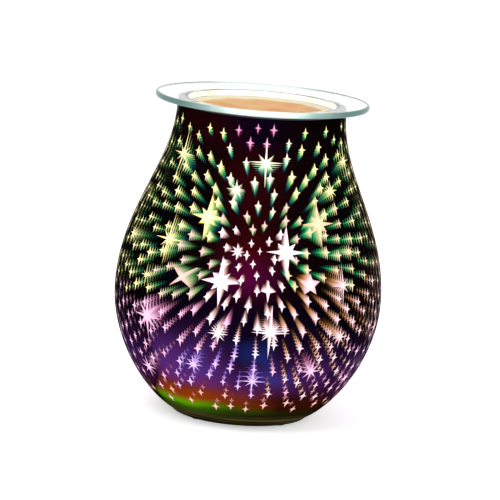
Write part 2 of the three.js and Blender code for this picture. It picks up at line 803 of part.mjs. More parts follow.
const lamp = new THREE.Group();
lamp.name = 'reflector_lamp';
model.add(lamp);
piece('lamp_cap', lampCap(), ceramic(), lamp);
piece('lamp_pin_live', lampPin(1), zincSteel(), lamp);
piece('lamp_pin_neutral', lampPin(-1), zincSteel(), lamp);
piece('lamp_reflector', reflector(), brightReflector(), lamp);
piece('lamp_capsule', capsule(), quartz(), lamp);
piece('lamp_lens', lens(), clearGlass(), lamp);

export default model;
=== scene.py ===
import math
import random

import bpy
import numpy as np
from mathutils import Matrix, Vector


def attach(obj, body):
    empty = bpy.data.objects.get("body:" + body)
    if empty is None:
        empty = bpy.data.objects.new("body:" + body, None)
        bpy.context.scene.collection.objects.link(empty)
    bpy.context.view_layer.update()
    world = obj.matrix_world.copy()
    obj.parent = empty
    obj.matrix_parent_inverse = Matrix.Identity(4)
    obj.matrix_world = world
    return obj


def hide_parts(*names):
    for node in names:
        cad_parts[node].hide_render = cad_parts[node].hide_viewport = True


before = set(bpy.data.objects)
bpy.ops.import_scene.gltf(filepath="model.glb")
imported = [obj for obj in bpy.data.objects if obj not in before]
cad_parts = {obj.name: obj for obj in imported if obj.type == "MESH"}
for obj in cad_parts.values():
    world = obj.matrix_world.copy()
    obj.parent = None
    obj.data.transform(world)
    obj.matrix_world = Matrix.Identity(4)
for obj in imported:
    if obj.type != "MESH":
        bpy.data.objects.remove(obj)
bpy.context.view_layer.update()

MM = 0.001

# Camera, worked out from the photograph: its roll, height, distance and lens
IMAGE_SIZE = 500
SENSOR = 36.0
LENS = 212.8
CAMERA_DISTANCE = 1.44
CAMERA_ELEVATION = math.radians(10.5)
CAMERA_ROLL = math.radians(4.4)
CAMERA_CLIP = (0.05, 20.0)
AIM_HEIGHT = 0.0707
AIM_PIXEL = (249.5, 270.7)

# Stage: what the white around gives as light and what is seen of it, the floor, and the lamps as
# name, place, size and power
SKY_LIGHT, SKY_SEEN = 0.62, 1.0
FLOOR_REACH = 4.0
FLOOR_SEEN = 0.5
LAMPS = (("key", (-0.7, -0.9, 1.3), 0.9, 12.0), ("fill", (1.0, -0.5, 0.9), 1.0, 6.0))
LAMPS_AIM = (0, 0, 0.08)

# The jar's outline in millimetres, as in the part's source
FOOT_RADIUS = 33.5
FOOT_ROUND = 1.05
FOOT_LEVEL = 1.0
FOOT_INNER = 31.1
FOOT_RISE = math.radians(24.8)
FOOT_REACH = 13.4
BELLY_RADIUS = 65.0
BELLY_LEVEL = 60.0
BELLY_REACH_DOWN = 27.8
BELLY_REACH_UP = 38.0
NECK_RADIUS = 40.85
NECK_REACH = 30.2
LIP_TOP = 151.9
LIP_ROUND = 1.1
WEB_UNDERSIDE = 4.5
WEB_TOP = 6.7
WEB_CORNER = 1.2
HOLE_RADIUS = 27.5
# Each half of its curve has CURVE_STEPS points, and one in CURVE_EVERY is a ring of the mesh. The film
# starts above the foot's bare glass and goes LIP_FILM_ROWS round the lip.
CURVE_STEPS = 400
CURVE_EVERY = 8
FOOT_GLASS_TOP = 7.6
LIP_STEPS = 8
LIP_FILM_ROWS = 5
ROUND_STEPS = 6

# The dish and the wax, in millimetres
DISH_RADIUS = 51.8
DISH_RIM = 2.8
DISH_RIM_FALL = 1.7
DISH_EDGE = 1.1
DISH_NECK = 37.85
DISH_WALL = 2.4
DISH_DEPTH = 18.0
DISH_FLOOR = 2.6
DISH_SLOPE = 0.25
DISH_FOOT_ROUND = 5.0
DISH_MOUTH_ROUND = 1.2
DISH_GAP = 0.3
WAX_BELOW_RIM = 4.5
WAX_GAP = 0.3
DISH_BEND = DISH_RADIUS - DISH_EDGE
DISH_MOUTH = DISH_NECK - DISH_WALL + DISH_MOUTH_ROUND
RIM_SLOPE = DISH_RIM_FALL / (DISH_BEND - DISH_MOUTH)
DISH_TOP = LIP_TOP + DISH_GAP + DISH_RIM + (DISH_BEND - NECK_RADIUS + LIP_ROUND) * RIM_SLOPE - 0.001
MOUTH_TOP = DISH_TOP - DISH_RIM_FALL
WAX_TOP = DISH_TOP - WAX_BELOW_RIM
# The rounding under the rim, as steps out from the neck and down from the rim
UNDER_RIM_BEND = ((0.0, 1.0), (0.3, 0.3), (1.0, 0.0))
# The wax's rounded edge, as steps in from its rim and down from its top, then the flat surface
WAX_EDGE = ((0.0, 0.1), (0.5, 0.45), (1.4, 0.8))
WAX_SURFACE = 0.85
WAX_RINGS = 12
FOOT_STEPS = 8
# Rings that hold the rim's faces flat next to its roundings, underneath and on top
RINGS_UNDER_RIM = (DISH_NECK + 1.4, DISH_BEND - 0.5)
RINGS_ON_RIM = (DISH_BEND - 0.5, DISH_MOUTH + 0.4)
# Rows of the well's wall above the wax that carry a painted reflection of it
WAX_REFLECTION_ROWS = 4

# The reflections run from the glass towards one point. Shares of the way there, by height:
VANISHING_POINT = (3.2, 0.0, 79.5)
HEAD_SHARE = 0.0065
DEEPEST_SHARE = 0.25
DEEPEST_SHARES = (
    (10, 0.055), (16, 0.1), (24, 0.13), (34, 0.165), (46, 0.21), (56, DEEPEST_SHARE),
    (112, DEEPEST_SHARE), (124, 0.2), (132, 0.15), (140, 0.095), (148, 0.055),
)
COPY_STEPS = ((20, 0.036), (40, 0.033), (56, 0.026), (72, 0.0225))
TAIL_WIDTH = 0.42

# The glow behind the stars: the jar's curve drawn in, with a foot and a neck of its own
GLOW_BEHIND = 0.015
GLOW_INSET = 1.0
GLOW_FOOT = ((35.2, 3.6), (37.4, 5.4), (39.8, 7.4), (42.0, 9.2), (41.4, 11.5), (40.4, 14.0))
GLOW_BELLY = (11.0, 146.0)
GLOW_BELLY_STEPS = 80
GLOW_NECK = ((37.3, 142.1), (38.2, 146.1), (39.2, 149.0), (39.75, 150.9))
GLOW_STEPS = 150
GLOW_SMOOTHINGS = 6
GLOW_WALL = 0.5
MIRROR_INSET = 1.1
MIRROR_BELOW_LIP = 0.3
STAR_CLEARANCE = 0.3

FILM_ALPHA = 0.8
FILM_DENSITY = 105.0
STAR_STRENGTH = 8.0
GLOW_STRENGTH = 30.0

SEGMENTS = 144
ON_AXIS = 1e-6


def bezier(p0, p1, p2, p3, count):
    t = np.linspace(0, 1, count)[:, None]
    a, b, c, d = (np.array(p, float) for p in (p0, p1, p2, p3))
    return (1 - t) ** 3 * a + 3 * (1 - t) ** 2 * t * b + 3 * (1 - t) * t * t * c + t**3 * d


def arc(centre, radius, start, stop, steps):
    """Points on an arc in degrees, both ends included."""
    angles = np.radians(np.linspace(start, stop, steps + 1))
    return [(centre[0] + radius * math.cos(a), centre[1] + radius * math.sin(a)) for a in angles]


def outward_normals(curve):
    """The normals of a curve that runs upwards, which point away from the axis."""
    tangent = np.gradient(curve, axis=0)
    tangent /= np.hypot(tangent[:, 0], tangent[:, 1])[:, None]
    return np.stack([tangent[:, 1], -tangent[:, 0]], axis=1)


def inset(curve, depth):
    """A curve that runs upwards, moved in towards the axis."""
    return curve - outward_normals(curve) * depth


class Outline:
    """The jar's outer curve by its length from the foot, with its outward normal."""

    def __init__(self):
        foot = (FOOT_RADIUS, FOOT_LEVEL + FOOT_ROUND)
        off_foot = (
            foot[0] + FOOT_REACH * math.cos(FOOT_RISE),
            foot[1] + FOOT_REACH * math.sin(FOOT_RISE),
        )
        belly = (BELLY_RADIUS, BELLY_LEVEL)
        below = (BELLY_RADIUS, BELLY_LEVEL - BELLY_REACH_DOWN)
        above = (BELLY_RADIUS, BELLY_LEVEL + BELLY_REACH_UP)
        neck = (NECK_RADIUS, LIP_TOP - LIP_ROUND)
        under_neck = (NECK_RADIUS, neck[1] - NECK_REACH)
        lower = bezier(foot, off_foot, below, belly, CURVE_STEPS)
        upper = bezier(belly, above, under_neck, neck, CURVE_STEPS)
        self.points = np.vstack([lower, upper[1:]])
        steps = np.diff(self.points, axis=0)
        self.length = np.concatenate([[0], np.cumsum(np.hypot(steps[:, 0], steps[:, 1]))])
        self.normal = outward_normals(self.points)

    def at(self, length):
        """Radius, height and the normal's two parts at a length, or at many."""
        columns = (self.points[:, 0], self.points[:, 1], self.normal[:, 0], self.normal[:, 1])
        return tuple(np.interp(length, self.length, column) for column in columns)

    def length_at(self, height):
        return np.interp(height, self.points[:, 1], self.length)


def deepest_share(height):
    levels, shares = zip(*DEEPEST_SHARES)
    return np.interp(height, levels, shares)


def glow_curve():
    heights = np.linspace(*GLOW_BELLY, GLOW_BELLY_STEPS)
    r, z, _, _ = outline.at(outline.length_at(heights))
    share = deepest_share(heights) + GLOW_BEHIND
    belly = np.stack([r * (1 - share) - GLOW_INSET, z + (VANISHING_POINT[2] - z) * share], axis=1)
    belly = belly[(belly[:, 1] > GLOW_FOOT[-1][1]) & (belly[:, 1] < GLOW_NECK[0][1])]
    corners = np.vstack([GLOW_FOOT, belly, GLOW_NECK])
    heights = np.linspace(corners[0, 1], corners[-1, 1], GLOW_STEPS)
    radii = np.interp(heights, corners[:, 1], corners[:, 0])
    for _ in range(GLOW_SMOOTHINGS):
        radii[1:-1] = (radii[:-2] + 2 * radii[1:-1] + radii[2:]) / 4
    return np.stack([radii, heights], axis=1)


outline = Outline()
glow = glow_curve()


def glow_radius(height):
    return float(np.interp(height, glow[:, 1], glow[:, 0]))


def on_surface(azimuth, height):
    """The glass's outside at degrees round to the right from the front, and at a height."""
    r, z, _, _ = outline.at(outline.length_at(height))
    a = math.radians(azimuth)
    return np.array([r * math.sin(a), -r * math.cos(a), z])


# ---- meshes


def new_object(name, vertices, faces, materials=(), face_slots=None, smooth=True, sharp=35):
    mesh = bpy.data.meshes.new(name)
    mesh.from_pydata([tuple(v) for v in vertices], [], [tuple(f) for f in faces])
    for material in materials:
        mesh.materials.append(material)
    if face_slots is not None:
        mesh.polygons.foreach_set("material_index", np.asarray(face_slots, np.int32))
    if smooth:
        mesh.polygons.foreach_set("use_smooth", [True] * len(mesh.polygons))
        mesh.set_sharp_from_angle(angle=math.radians(sharp))
    mesh.update()
    obj = bpy.data.objects.new(name, mesh)
    bpy.context.scene.collection.objects.link(obj)
    return obj


def lathe(name, profile, materials, slots=None, closed=True, bump=None, sharp=35):
    """Turns a profile in millimetres about Z.

    The profile runs anticlockwise in radius and height, so that faces look out.
    """
    angles = np.arange(SEGMENTS) * 2 * math.pi / SEGMENTS
    vertices, rings = [], []
    for i, (r, z) in enumerate(profile):
        if r < ON_AXIS:
            rings.append([len(vertices)])
            vertices.append((0.0, 0.0, z * MM))
            continue
        ring = []
        for a in angles:
            lift = bump(r, a, i) if bump else 0.0
            ring.append(len(vertices))
            vertices.append((r * MM * math.cos(a), r * MM * math.sin(a), (z + lift) * MM))
        rings.append(ring)
    faces, face_slots = [], []
    count = len(profile)
    for i in range(count if closed else count - 1):
        low, high = rings[i], rings[(i + 1) % count]
        slot = slots[i] if slots else 0
        if len(low) == 1 and len(high) == 1:
            continue
        for j in range(SEGMENTS):
            k = (j + 1) % SEGMENTS
            if len(low) == 1:
                faces.append((low[0], high[k], high[j]))
            elif len(high) == 1:
                faces.append((low[j], low[k], high[0]))
            else:
                faces.append((low[j], low[k], high[k], high[j]))
            face_slots.append(slot)
    return new_object(name, vertices, faces, materials, face_slots, sharp=sharp)


# ---- materials


class Paint:
    """A material with short ways to add nodes and join them."""

    def __init__(self, name, **plain):
        self.material = bpy.data.materials.new(name)
        self.material.use_nodes = True
        self.tree = self.material.node_tree
        self.shader = self.tree.nodes["Principled BSDF"]
        self.output = self.tree.nodes["Material Output"]
        self.surface(**plain)

    def set(self, node, **values):
        for key, value in values.items():
            socket = node.inputs[key.replace("_", " ")]
            if isinstance(value, bpy.types.NodeSocket):
                self.tree.links.new(value, socket)
            elif socket.type == "RGBA" and len(value) == 3:
                socket.default_value = (*value, 1.0)
            else:
                socket.default_value = value
        return node

    def surface(self, **values):
        self.set(self.shader, **values)

    def shine(self, colour, strength, sampled=True):
        """Light of the surface's own. Where it isn't sampled, it is seen but isn't used as a lamp."""
        self.surface(Emission_Color=colour, Emission_Strength=strength)
        if not sampled:
            self.material.cycles.emission_sampling = "NONE"

    def absorb(self, colour, density):
        """What the body takes from light on its way through."""
        inside = self.add("ShaderNodeVolumeAbsorption", Color=colour, Density=density)
        self.tree.links.new(inside.outputs[0], self.output.inputs["Volume"])

    def add(self, kind, **values):
        return self.set(self.tree.nodes.new(kind), **values)

    def place(self):
        """The point's place in the row frame, in metres."""
        return self.tree.nodes.new("ShaderNodeTexCoord").outputs["Object"]

    def split(self, vector):
        """A vector's three parts."""
        return self.add("ShaderNodeSeparateXYZ", Vector=vector).outputs

    def noise(self, vector, scale, detail=3.0):
        return self.add("ShaderNodeTexNoise", Vector=vector, Scale=scale, Detail=detail).outputs["Fac"]

    def ramp(self, factor, stops):
        node = self.tree.nodes.new("ShaderNodeValToRGB")
        elements = node.color_ramp.elements
        while len(elements) < len(stops):
            elements.new(1.0)
        for element, (at, _) in zip(elements, stops):
            element.position = at
        for element, (_, colour) in zip(elements, stops):
            element.color = (*colour, 1.0)
        self.tree.links.new(factor, node.inputs["Fac"])
        return node.outputs["Color"]

    def math(self, operation, a, b=0.0):
        node = self.tree.nodes.new("ShaderNodeMath")
        node.operation = operation
        for socket, value in zip(node.inputs, (a, b)):
            if isinstance(value, bpy.types.NodeSocket):
                self.tree.links.new(value, socket)
            else:
                socket.default_value = value
        return node.outputs[0]

    def scaled(self, value, low, high, to_low=0.0, to_high=1.0):
        """The value as it goes from low to high, laid from to_low to to_high and held there."""
        node = self.tree.nodes.new("ShaderNodeMapRange")
        ends = (("From Min", low), ("From Max", high), ("To Min", to_low), ("To Max", to_high))
        for key, number in ends:
            node.inputs[key].default_value = number
        self.tree.links.new(value, node.inputs["Value"])
        return node.outputs["Result"]

    def mix(self, factor, a, b, blend="MIX"):
        node = self.tree.nodes.new("ShaderNodeMix")
        node.data_type = "RGBA"
        node.blend_type = blend
        for key, value in (("Factor_Float", factor), ("A_Color", a), ("B_Color", b)):
            socket = next(s for s in node.inputs if s.identifier == key)
            if isinstance(value, bpy.types.NodeSocket):
                self.tree.links.new(value, socket)
            elif key == "Factor_Float":
                socket.default_value = value
            else:
                socket.default_value = (*value, 1.0)
        return next(s for s in node.outputs if s.identifier == "Result_Color")

    def bump(self, height, distance, strength):
        node = self.add("ShaderNodeBump", Height=height, Distance=distance, Strength=strength)
        self.tree.links.new(node.outputs["Normal"], self.shader.inputs["Normal"])


def srgb(r, g, b):
    """A colour as it shows on screen, 0 to 255, in linear light."""
    out = []
    for value in (r, g, b):
        v = value / 255
        out.append(v / 12.92 if v <= 0.04045 else ((v + 0.055) / 1.055) ** 2.4)
    return tuple(out)


def grey(value):
    return (value, value, value)


GLOW_TONES = {
    "olive": (52, 60, 16),
    "green": (102, 172, 0),
    "orange": (180, 72, 10),
    "rust": (150, 54, 50),
    "purple": (134, 54, 138),
    "violet": (108, 52, 147),
    "night": (14, 2, 26),
    "magenta": (90, 2, 60),
    "maroon": (66, 4, 8),
    "black": (14, 2, 2),
}
# Bands from the foot up: height in millimetres, tone and its share
LEFT_BANDS = (
    (3, "olive", 1.0), (9.2, "green", 0.32), (10.4, "green", 0.95), (11.4, "green", 1.1),
    (14, "orange", 1.0), (17, "orange", 0.95), (19, "rust", 1.05), (22, "purple", 1.05),
    (28, "violet", 1.05), (36, "violet", 0.7), (46, "violet", 0.2), (56, "night", 1.0),
    (66, "night", 0.4), (78, "black", 0.8), (131, "black", 1.0), (140, "maroon", 0.33),
    (152, "maroon", 0.15),
)
MIDDLE_BANDS = (
    (3, "olive", 0.7), (9.2, "olive", 0.6), (10.8, "green", 0.19), (14, "orange", 0.5),
    (17, "rust", 0.78), (22, "purple", 0.44), (28, "violet", 0.33), (36, "violet", 0.09),
    (46, "night", 0.9), (58, "night", 0.9), (64, "magenta", 0.13), (74.5, "magenta", 1.0),
    (88, "maroon", 1.0), (98, "maroon", 0.4), (123, "maroon", 0.55), (131, "maroon", 0.3),
    (140, "night", 0.6), (152, "night", 0.9),
)
RIGHT_BANDS = (
    (3, "olive", 0.4), (9.2, "olive", 0.3), (12.2, "orange", 0.07), (14, "orange", 0.1),
    (17, "rust", 0.16), (22, "purple", 0.36), (28, "violet", 0.55), (36, "violet", 0.2),
    (46, "violet", 0.06), (58, "night", 0.5), (70, "black", 0.8), (96, "black", 1.2),
    (123, "black", 0.8), (140, "black", 0.7), (152, "black", 0.5),
)
HIGHEST_BAND = 152.0
# The bands lie this many millimetres lower at both sides, and rise over this many metres to the front
# and the back. Their edges waver by this share of the height.
BANDS_DROP = 2.4
BANDS_RISE_OVER = 0.04
BANDS_WAVER = 0.018
# Metres from the middle where the left and the right bands begin to show and where they are all
LEFT_OVER = (-0.002, -0.022)
RIGHT_OVER = (0.0, 0.019)
BLUE_PATCH = (22, 66, 168)
BLUE_LEVELS = (0.14, 0.19, 0.24, 0.32)
# The film is seen through at a slant towards the sides, so the low glow is brighter there
SIDE_LIFT = 2.2
SIDE_LIFT_OVER = (0.028, 0.052)
SIDE_LIFT_LEVELS = (0.06, 0.1, 0.26, 0.38)

# Painted glow on the film, low at both sides, where the glow ends before the jar's outline does
SIDE_GLOW_BANDS = (
    (9, "orange", 0.02), (15, "rust", 0.14), (22, "purple", 0.24), (32, "violet", 0.25),
    (44, "violet", 0.065), (56, "night", 0.0),
)
SIDE_GLOW_TOP = 60.0
SIDE_GLOW_OVER = (0.034, 0.048)

# Each kind of star: its core, its tips, the middle of its trail of painted reflections and the trail's end
STAR_TONES = (
    ((224, 172, 206), (204, 98, 164), (120, 24, 60), (40, 6, 20)),
    ((255, 250, 196), (246, 222, 124), (70, 184, 100), (0, 84, 118)),
    ((255, 255, 236), (252, 228, 168), (84, 204, 160), (0, 88, 124)),
    ((226, 204, 192), (216, 166, 152), (140, 196, 116), (0, 116, 72)),
    ((228, 214, 176), (222, 184, 140), (30, 206, 110), (0, 124, 104)),
    ((242, 218, 218), (222, 164, 178), (232, 162, 104), (156, 98, 10)),
    ((238, 200, 222), (220, 148, 194), (206, 120, 160), (92, 40, 74)),
    ((220, 194, 232), (194, 144, 226), (150, 112, 222), (60, 44, 164)),
    ((240, 200, 188), (230, 140, 140), (176, 70, 60), (80, 24, 14)),
    ((255, 250, 250), (250, 216, 228), (236, 178, 170), (120, 50, 60)),
)
PINK, YELLOW, CREAM, PALE, GREEN, TAN, LILAC, VIOLET, PEACH, WHITE = range(len(STAR_TONES))
# Where the stars' UV map lies: a kind's tones take up most of its row, and the copies' depth the width
KIND_ENDS = (0.1, 0.9)
TIP_START, TIP_SPAN = 0.12, 0.76
DEPTH_START, DEPTH_SPAN = 0.02, 0.96

WAX_GLINT_RADII = (0.0285, 0.0315)
WAX_SHADED = (0.018, 0.034)
EDGE_WIDTH = 0.052
# How the noise for the foot's painted reflections is stretched into horizontal streaks
REFLECTION_STREAKS = (14.0, 14.0, 420.0)
FOOT_UPPER = (0.0052, 0.0078)
CAPSULE_HEIGHTS = (0.060, 0.080)
GRAIN_SCALE = 900.0
GRAIN_DEPTH = 0.00005


def behind_film(height):
    """The part of its full strength that the glow needs at a height, as the film is thinner there."""
    r, _, _, _ = outline.at(outline.length_at(height))
    deepest = BELLY_RADIUS * (DEEPEST_SHARE + GLOW_BEHIND) + GLOW_INSET
    depth = max(0.0, min(float(r) - glow_radius(height), deepest))
    return math.exp(-FILM_DENSITY * (deepest - depth) * MM)


def band_stops(bands, highest, part=lambda height: 1.0):
    """A ramp's stops for a list of bands, each at the part of its strength that its height needs."""
    stops = []
    for height, tone, share in bands:
        share *= part(height)
        stops.append((height / highest, tuple(c * share for c in srgb(*GLOW_TONES[tone]))))
    return stops


def window(levels):
    """Stops of a ramp that opens between the first two levels and closes between the last two."""
    return [(level, grey(value)) for level, value in zip(levels, (0, 1, 1, 0))]


def film_paint():
    """The smoked film outside: nearly black, without gloss, over dark glass, with a faint painted glow low
    at both sides.
    """
    paint = Paint("smoked_film", Base_Color=(0.0016, 0.001, 0.0018), Alpha=FILM_ALPHA)
    paint.surface(Specular_IOR_Level=0.0, Roughness=0.12)
    x, _, z = paint.split(paint.place())
    side_glow = paint.ramp(paint.scaled(z, 0.0, SIDE_GLOW_TOP * MM), band_stops(SIDE_GLOW_BANDS, SIDE_GLOW_TOP))
    aside = paint.scaled(paint.math("ABSOLUTE", x), *SIDE_GLOW_OVER)
    # The film glows with painted light towards both sides.
    paint.shine(paint.mix(aside, grey(0.0), side_glow), 1.0, sampled=False)
    paint.absorb(grey(0.0), FILM_DENSITY)
    return paint.material


def foot_paint():
    """The thick glass under the pattern, dark olive, with painted reflections as pale horizontal streaks.
    """
    paint = Paint("foot_glass", Roughness=0.3, Specular_IOR_Level=0.0)
    place = paint.place()
    x, _, z = paint.split(place)
    # Painted reflections: pale horizontal streaks over the dark olive glass.
    flat = paint.add("ShaderNodeVectorMath", Vector=place)
    flat.operation = "MULTIPLY"
    flat.inputs[1].default_value = REFLECTION_STREAKS
    reflection_streaks = paint.noise(flat.outputs[0], 1.6, 2.0)
    dark = paint.ramp(reflection_streaks, [
        (0.34, srgb(34, 29, 14)), (0.5, srgb(70, 62, 32)), (0.66, srgb(124, 114, 76)),
    ])
    upper = paint.mix(paint.scaled(x, -0.02, 0.004), srgb(56, 80, 14), srgb(32, 28, 9))
    paint.surface(Base_Color=paint.mix(paint.scaled(z, *FOOT_UPPER), dark, upper))
    return paint.material


def mirror_paint():
    """The silvered inside of the jar, warm with the lamp's light."""
    paint = Paint("silvered_inside", Metallic=1.0)
    tone = paint.noise(paint.place(), 60.0)
    paint.surface(Base_Color=paint.ramp(tone, [(0.3, (0.34, 0.32, 0.33)), (0.7, (0.46, 0.43, 0.42))]))
    paint.surface(Roughness=paint.scaled(tone, 0.3, 0.7, 0.12, 0.24))
    warm = paint.ramp(tone, [(0.3, (1.0, 0.8, 0.52)), (0.7, (1.0, 0.88, 0.64))])
    paint.shine(warm, 0.06, sampled=False)
    return paint.material


def lip_paint():
    """The cut glass of the jar's lip, which glows with painted light."""
    paint = Paint("lip_glass", Roughness=0.25)
    tone = paint.noise(paint.place(), 180.0)
    colour = paint.ramp(tone, [(0.3, (0.66, 0.76, 0.73)), (0.7, (0.8, 0.86, 0.83))])
    paint.surface(Base_Color=colour)
    # Painted light: the lip glows with its own colour.
    paint.shine(colour, 0.3)
    return paint.material


def glow_paint():
    """The glow behind the pattern. Bands of colour from foot to neck, with soft patches."""
    paint = Paint("glow", Base_Color=(0.004, 0.003, 0.005), Roughness=0.5, Specular_IOR_Level=0.0)
    place = paint.place()
    x, y, z = paint.split(place)
    waver = paint.scaled(paint.noise(place, 22.0, 2.0), 0.0, 1.0, -BANDS_WAVER, BANDS_WAVER)
    off_sides = paint.math("ABSOLUTE", y)
    drop = paint.scaled(off_sides, 0.0, BANDS_RISE_OVER, BANDS_DROP / HIGHEST_BAND, 0.0)
    level = paint.math("MULTIPLY", z, 1000.0 / HIGHEST_BAND)
    level = paint.math("ADD", level, paint.math("ADD", waver, drop))
    left, middle, right = (
        paint.ramp(level, band_stops(bands, HIGHEST_BAND, behind_film))
        for bands in (LEFT_BANDS, MIDDLE_BANDS, RIGHT_BANDS)
    )
    colour = paint.mix(paint.scaled(x, *LEFT_OVER), middle, left)
    colour = paint.mix(paint.scaled(x, *RIGHT_OVER), colour, right)
    patch = paint.scaled(paint.noise(place, 34.0, 2.0), 0.54, 0.74, 0.0, 0.5)
    patch = paint.math("MULTIPLY", patch, paint.ramp(level, window(BLUE_LEVELS)))
    colour = paint.mix(patch, colour, srgb(*BLUE_PATCH))
    aside = paint.scaled(paint.math("ABSOLUTE", x), *SIDE_LIFT_OVER, 0.0, SIDE_LIFT)
    lift = paint.math("MULTIPLY", aside, paint.ramp(level, window(SIDE_LIFT_LEVELS)))
    colour = paint.mix(1.0, colour, paint.math("ADD", lift, 1.0), blend="MULTIPLY")
    paint.shine(colour, GLOW_STRENGTH, sampled=False)
    return paint.material


def star_paint():
    """Self-lit stars, and the copies that stand for their painted reflections.

    Their UV map holds, across, the copy's depth and, up, the kind of star and the way from core to tip.
    """
    paint = Paint("starlight", Base_Color=grey(0.0), Roughness=0.6, Specular_IOR_Level=0.0)
    uv = paint.tree.nodes.new("ShaderNodeUVMap")
    uv.uv_map = "OFBake"
    across, up, _ = paint.split(uv.outputs["UV"])
    kinds = len(STAR_TONES)

    def column(*picks):
        """Every kind's tones, one above the other, from the first pick to the second."""
        stops = []
        for kind, tones in enumerate(STAR_TONES):
            for end, pick in zip(KIND_ENDS, picks):
                stops.append(((kind + end) / kinds, srgb(*tones[pick])))
        return paint.ramp(up, stops)

    head, middle, end = column(0, 1), column(2, 2), column(3, 3)
    # Deeper copies, the painted reflections, turn to the trail's tones and fade.
    colour = paint.mix(paint.scaled(across, 0.06, 0.42), head, middle)
    colour = paint.mix(paint.scaled(across, 0.42, 0.8), colour, end)
    fade = paint.ramp(across, [(0.45, grey(1)), (0.65, grey(0.85)), (0.85, grey(0.45)), (1.0, grey(0.12))])
    paint.shine(paint.mix(1.0, colour, fade, blend="MULTIPLY"), STAR_STRENGTH, sampled=False)
    return paint.material


def glass_paint(name, density=0.0):
    """Clear glass with a faint smear, and with green depths where a density is given."""
    paint = Paint(name, Base_Color=(0.97, 0.995, 0.985), IOR=1.5, Transmission_Weight=1.0)
    smear = paint.noise(paint.place(), 90.0)
    paint.surface(Roughness=paint.scaled(smear, 0.35, 0.7, 0.0, 0.03))
    if density:
        paint.absorb((0.45, 0.86, 0.8), density)
    return paint.material


def edge_paint():
    """The dish's edge, where the glass shows its own green. It glows with painted light, lighter in the
    middle and darker towards both sides.
    """
    paint = Paint("glass_edge", Roughness=0.1, IOR=1.5, Specular_IOR_Level=0.2)
    place = paint.place()
    x = paint.split(place)["X"]
    uneven = paint.scaled(paint.noise(place, 60.0), 0.3, 0.7, -0.05, 0.05)
    # Painted light: the edge is lighter in the middle and darker towards both sides.
    aside = paint.scaled(paint.math("ABSOLUTE", x), 0.0, EDGE_WIDTH)
    colour = paint.ramp(paint.math("ADD", aside, uneven), [
        (0.0, (0.66, 0.8, 0.73)), (0.28, (0.6, 0.75, 0.69)), (0.5, (0.22, 0.33, 0.31)),
        (0.72, (0.085, 0.16, 0.145)), (1.0, (0.06, 0.13, 0.115)),
    ])
    paint.surface(Base_Color=colour)
    # The edge glows with painted light.
    paint.shine(colour, 0.45)
    return paint.material


def wax_reflection_paint():
    """The well's wall just above the wax, cream with a painted reflection of the lit wax and glowing with
    painted light.
    """
    paint = Paint("wax_reflection_glass", IOR=1.5, Transmission_Weight=0.3)
    smear = paint.noise(paint.place(), 130.0)
    # Cream, a painted reflection of the lit wax.
    colour = paint.ramp(smear, [(0.3, srgb(246, 234, 208)), (0.6, srgb(253, 248, 236))])
    paint.surface(Base_Color=colour, Roughness=paint.scaled(smear, 0.3, 0.7, 0.1, 0.3))
    # The wall glows with painted light.
    paint.shine(colour, 0.35)
    return paint.material


def wax_paint():
    """Melted wax, lit from below, greyer on the right and with a paler rim, a painted highlight along its
    edge.
    """
    paint = Paint("melted_wax", Roughness=0.22, Specular_IOR_Level=0.0)
    paint.surface(Subsurface_Weight=0.3, Subsurface_Scale=0.006)
    place = paint.place()
    x, y, _ = paint.split(place)
    swirl = paint.noise(place, 45.0, 2.0)
    colour = paint.ramp(swirl, [
        (0.3, srgb(194, 142, 98)), (0.5, srgb(207, 159, 115)), (0.7, srgb(216, 173, 130)),
    ])
    colour = paint.mix(paint.scaled(x, *WAX_SHADED, 0.0, 0.8), colour, srgb(158, 132, 112))
    out_squared = paint.math("ADD", paint.math("MULTIPLY", x, x), paint.math("MULTIPLY", y, y))
    uneven = paint.scaled(swirl, 0.3, 0.7, -0.00008, 0.00008)
    # A painted highlight: a paler ring along the wax's edge.
    rim = paint.scaled(paint.math("ADD", out_squared, uneven), WAX_GLINT_RADII[0] ** 2, WAX_GLINT_RADII[1] ** 2)
    colour = paint.mix(rim, colour, srgb(214, 203, 174))
    paint.surface(Base_Color=colour)
    paint.shine(colour, 0.15)
    paint.bump(paint.noise(place, 120.0, 2.0), 0.0002, 0.15)
    return paint.material


def moulding_paint(name, dark, pale, roughness):
    """A moulded or cast surface with a fine grain and slightly uneven tone."""
    paint = Paint(name)
    place = paint.place()
    tone = paint.noise(place, 70.0)
    paint.surface(Base_Color=paint.ramp(tone, [(0.3, dark), (0.7, pale)]))
    paint.surface(Roughness=paint.scaled(tone, 0.3, 0.7, roughness - 0.06, roughness + 0.06))
    paint.bump(paint.noise(place, GRAIN_SCALE, 2.0), GRAIN_DEPTH, 0.5)
    return paint.material


def metal_paint(name, dark, pale, roughness):
    """Plated or polished metal, a little worn."""
    paint = Paint(name, Metallic=1.0)
    wear = paint.noise(paint.place(), 240.0, 5.0)
    paint.surface(Base_Color=paint.ramp(wear, [(0.35, dark), (0.65, pale)]))
    paint.surface(Roughness=paint.scaled(wear, 0.3, 0.7, roughness - 0.08, roughness + 0.1))
    return paint.material


def quartz_paint():
    """The capsule, glowing from its filament."""
    paint = Paint("lit_quartz", Base_Color=(0.95, 0.93, 0.9), Roughness=0.1)
    z = paint.split(paint.place())["Z"]
    paint.shine(paint.ramp(paint.scaled(z, *CAPSULE_HEIGHTS), [
        (0.0, (0.25, 0.2, 0.15)), (0.35, (1.0, 0.82, 0.6)),
        (0.7, (1.0, 0.86, 0.68)), (1.0, (0.5, 0.4, 0.3)),
    ]), 2.5)
    return paint.material


